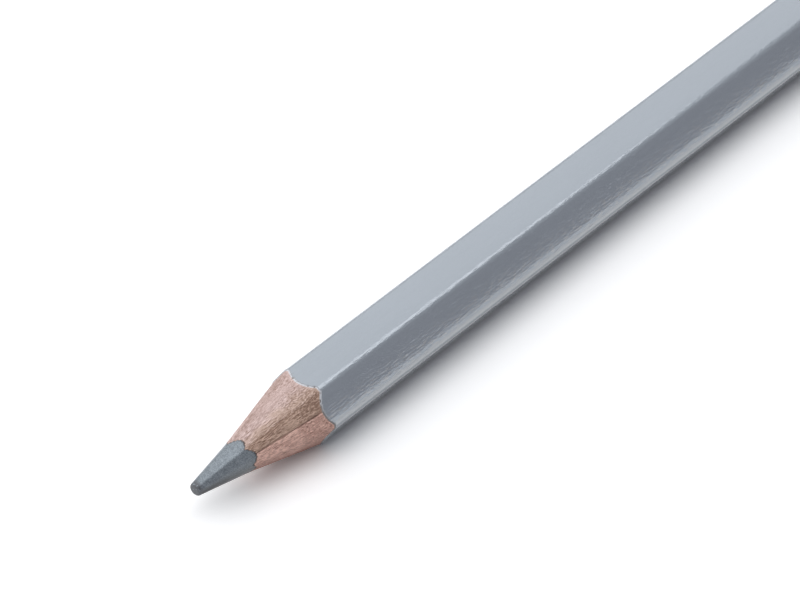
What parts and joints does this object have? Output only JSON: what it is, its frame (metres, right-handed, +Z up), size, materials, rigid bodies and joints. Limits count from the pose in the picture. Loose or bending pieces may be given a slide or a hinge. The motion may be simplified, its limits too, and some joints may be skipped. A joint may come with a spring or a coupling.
{
  "type": "colour pencil",
  "caption": "Sharpened hexagonal wood-cased colour pencil: thick grey core with a blunt tip, glued split wood casing, pale undercoat and silver-grey lacquer. Lies on a flat, for drawing.",
  "frame": {"origin": "on the surface the pencil lies on, below the middle of its length", "axes": "+X along the pencil from its tip to its cut end, +Z up out of the top flat"},
  "size_m": [0.175, 0.0078, 0.007],
  "materials": {
    "colour_core": "grey pigment core, cut surface with a soft sheen",
    "glue": "set wood glue",
    "upper_wood": "bare pinkish softwood, cut to a six-sided point",
    "lower_wood": "bare pinkish softwood, a little redder",
    "undercoat": "pale filler coat",
    "lacquer": "silver-grey pearl lacquer, semi-gloss"
  },
  "bodies": {
    "root": {"colour_core": "colour_core", "core_glue": "glue", "upper_casing_half": "upper_wood", "lower_casing_half": "lower_wood", "near_glue_line": "glue", "far_glue_line": "glue", "undercoat": "undercoat", "lacquer_coat": "lacquer"}
  },
  "joints": []
}
